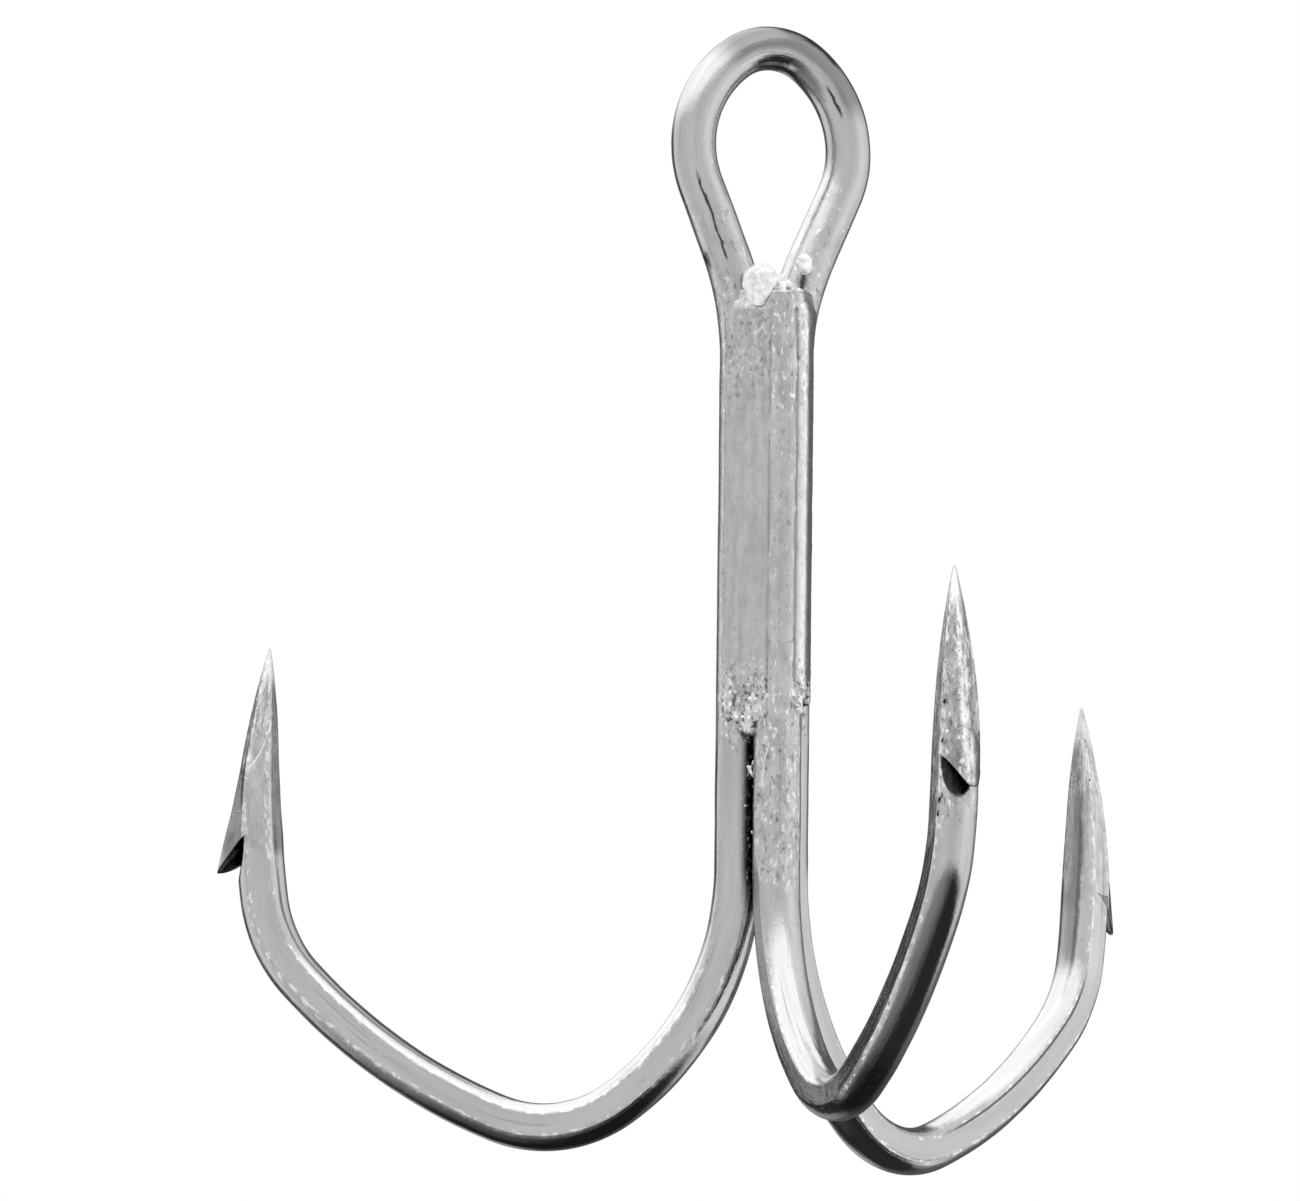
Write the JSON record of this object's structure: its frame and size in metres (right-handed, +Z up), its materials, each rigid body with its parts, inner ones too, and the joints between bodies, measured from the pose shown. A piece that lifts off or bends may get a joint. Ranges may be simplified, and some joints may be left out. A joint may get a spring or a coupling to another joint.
{
  "type": "treble hook",
  "caption": "Barbed treble fishing hook of plated steel wire: two hooks folded from one wire that forms the line eye, with another brazed into the groove between them.",
  "frame": {"origin": "middle of the line eye, on its widest line and in the middle of its wire", "axes": "+Z up the shank towards the top of the eye, +Y square to the plane of the eye and away from the third hook, +X to the right along the eye's width"},
  "size_m": [0.0422, 0.0367, 0.0499],
  "materials": {
    "plated_wire": "bright tin plating over steel wire, with drawing marks, flat forged sides and fine scratches",
    "plated_braze": "bright tin plating over lumpy, pitted brazing metal"
  },
  "bodies": {
    "root": {"double_hook": "plated_wire", "third_hook": "plated_wire", "eye_web": "plated_braze", "braze_core": "plated_braze", "seam_front_left": "plated_braze", "seam_front_right": "plated_braze", "seam_rear": "plated_braze", "third_hook_cap": "plated_braze", "bead_left": "plated_braze", "bead_right": "plated_braze"}
  },
  "joints": []
}
